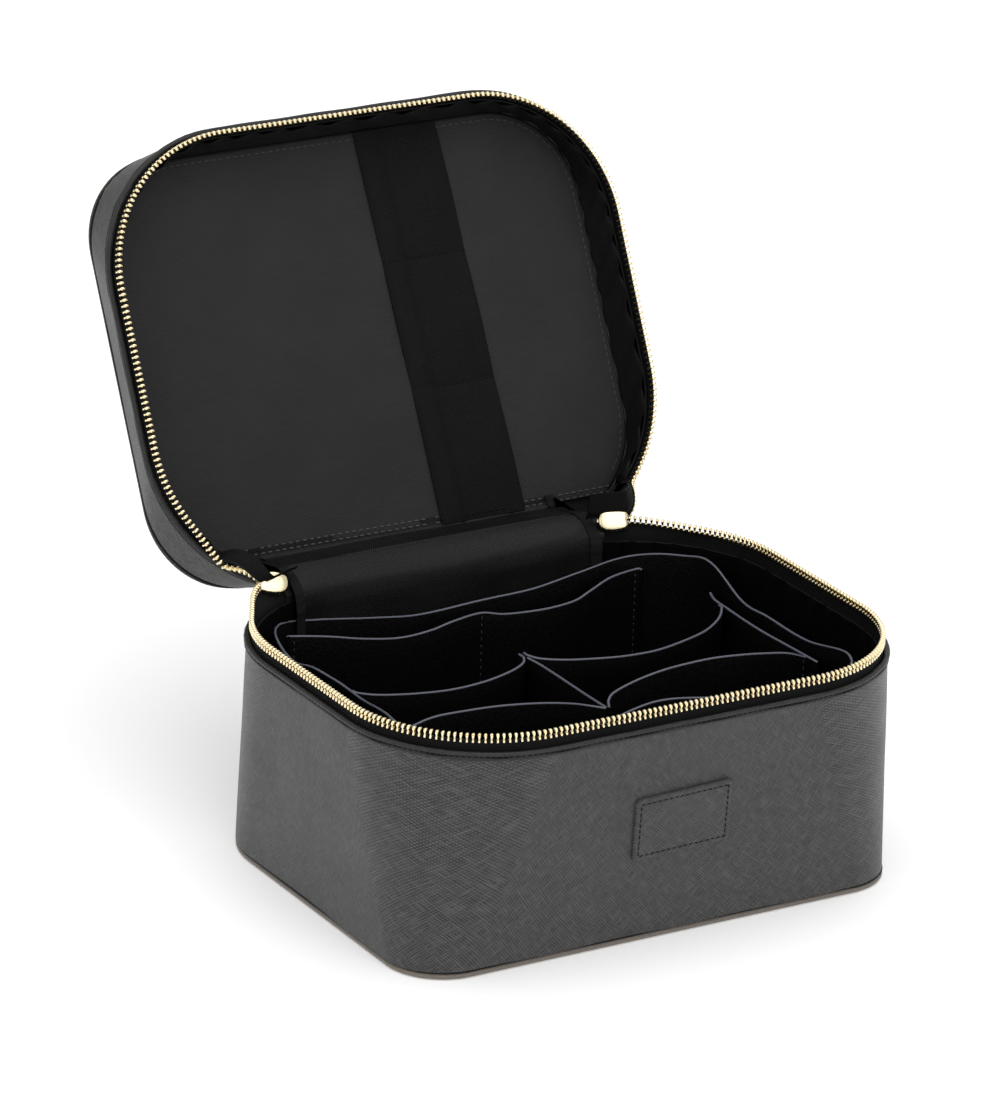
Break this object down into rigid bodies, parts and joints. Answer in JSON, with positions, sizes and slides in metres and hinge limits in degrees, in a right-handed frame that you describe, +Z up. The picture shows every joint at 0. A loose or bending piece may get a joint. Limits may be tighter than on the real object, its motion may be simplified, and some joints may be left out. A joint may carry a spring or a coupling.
{
  "type": "makeup train case",
  "caption": "Leather makeup train case with a zipped, hinged lid, a brush band inside the lid, a lift-out divider insert and a carrying handle.",
  "frame": {"origin": "middle of the base, on the surface the case stands on", "axes": "+Z up, +X to the case's right side as seen from its front, -Y out of its front, with the lid's hinge along the back"},
  "size_m": [0.2478, 0.3134, 0.2719],
  "materials": {
    "leather": "black leather with a fine cross-hatched grain, satin",
    "board": "grey-brown stiffening board",
    "lining": "black woven lining",
    "panel_lining": "charcoal plain-weave lining",
    "zip_tape": "black herringbone zip tape",
    "gold": "polished pale gold",
    "elastic": "black woven elastic",
    "satin": "black twill with a soft sheen",
    "divider": "black pebble-grained coated sheet with painted edges"
  },
  "bodies": {
    "body": {"bottom_panel": "leather", "base_welt": "leather", "base_board": "board", "body_shell": "leather", "body_board": "board", "body_lining": "lining", "body_hem": "leather", "body_zip_tape": "zip_tape", "body_zip_teeth": "gold", "front_patch": "leather", "hinge_leaf_body": "leather", "hinge_lining_body": "satin", "slider_left": "gold", "slider_right": "gold"},
    "lid": {"lid_band": "leather", "lid_welt": "leather", "lid_top_panel": "leather", "lid_board": "board", "lid_side_board": "board", "lid_hem": "leather", "lid_zip_tape": "zip_tape", "lid_zip_teeth": "gold", "lid_lining_wall": "lining", "lid_lining_panel": "panel_lining", "hinge_leaf_lid": "leather", "hinge_lining_lid": "satin", "brush_loop_front": "elastic", "brush_loop_middle": "elastic", "brush_loop_back": "elastic", "handle_tab_left": "leather", "handle_tab_right": "leather"},
    "handle": {"handle_ring_left": "gold", "handle_ring_right": "gold", "handle_strap": "leather"},
    "pull_left": {"pull_left_link": "gold", "pull_left_tab": "gold"},
    "pull_right": {"pull_right_link": "gold", "pull_right_tab": "gold"},
    "insert": {"insert_base": "divider", "insert_outer_wall": "divider", "insert_back_pocket": "divider", "insert_side_pocket": "divider", "insert_divider_back_left": "divider", "insert_divider_back_right": "divider", "insert_cross_divider": "divider", "insert_divider_front_left": "divider", "insert_divider_front_right": "divider"}
  },
  "joints": [
    {"name": "lid_hinge", "type": "hinge", "parent": "body", "child": "lid", "pos_m": [0, 0.0924, 0.0997], "axis": [-1, 0, 0], "range_deg": [-116.8, 57]},
    {"name": "handle_swing", "type": "hinge", "parent": "lid", "child": "handle", "pos_m": [0, 0.16973, 0.17116], "axis": [1, 0, 0], "range_deg": [-8, 135]},
    {"name": "left_pull_swing", "type": "hinge", "parent": "body", "child": "pull_left", "pos_m": [-0.08656, 0.08773, 0.104], "axis": [-0.8939, -0.4483, 0], "range_deg": [-60, 0]},
    {"name": "right_pull_swing", "type": "hinge", "parent": "body", "child": "pull_right", "pos_m": [0.08014, 0.09056, 0.104], "axis": [-0.9341, 0.3571, 0], "range_deg": [-60, 0]},
    {"name": "insert_lift", "type": "slide", "parent": "body", "child": "insert", "axis": [0, 0, 1], "range_m": [0, 0.11]}
  ]
}
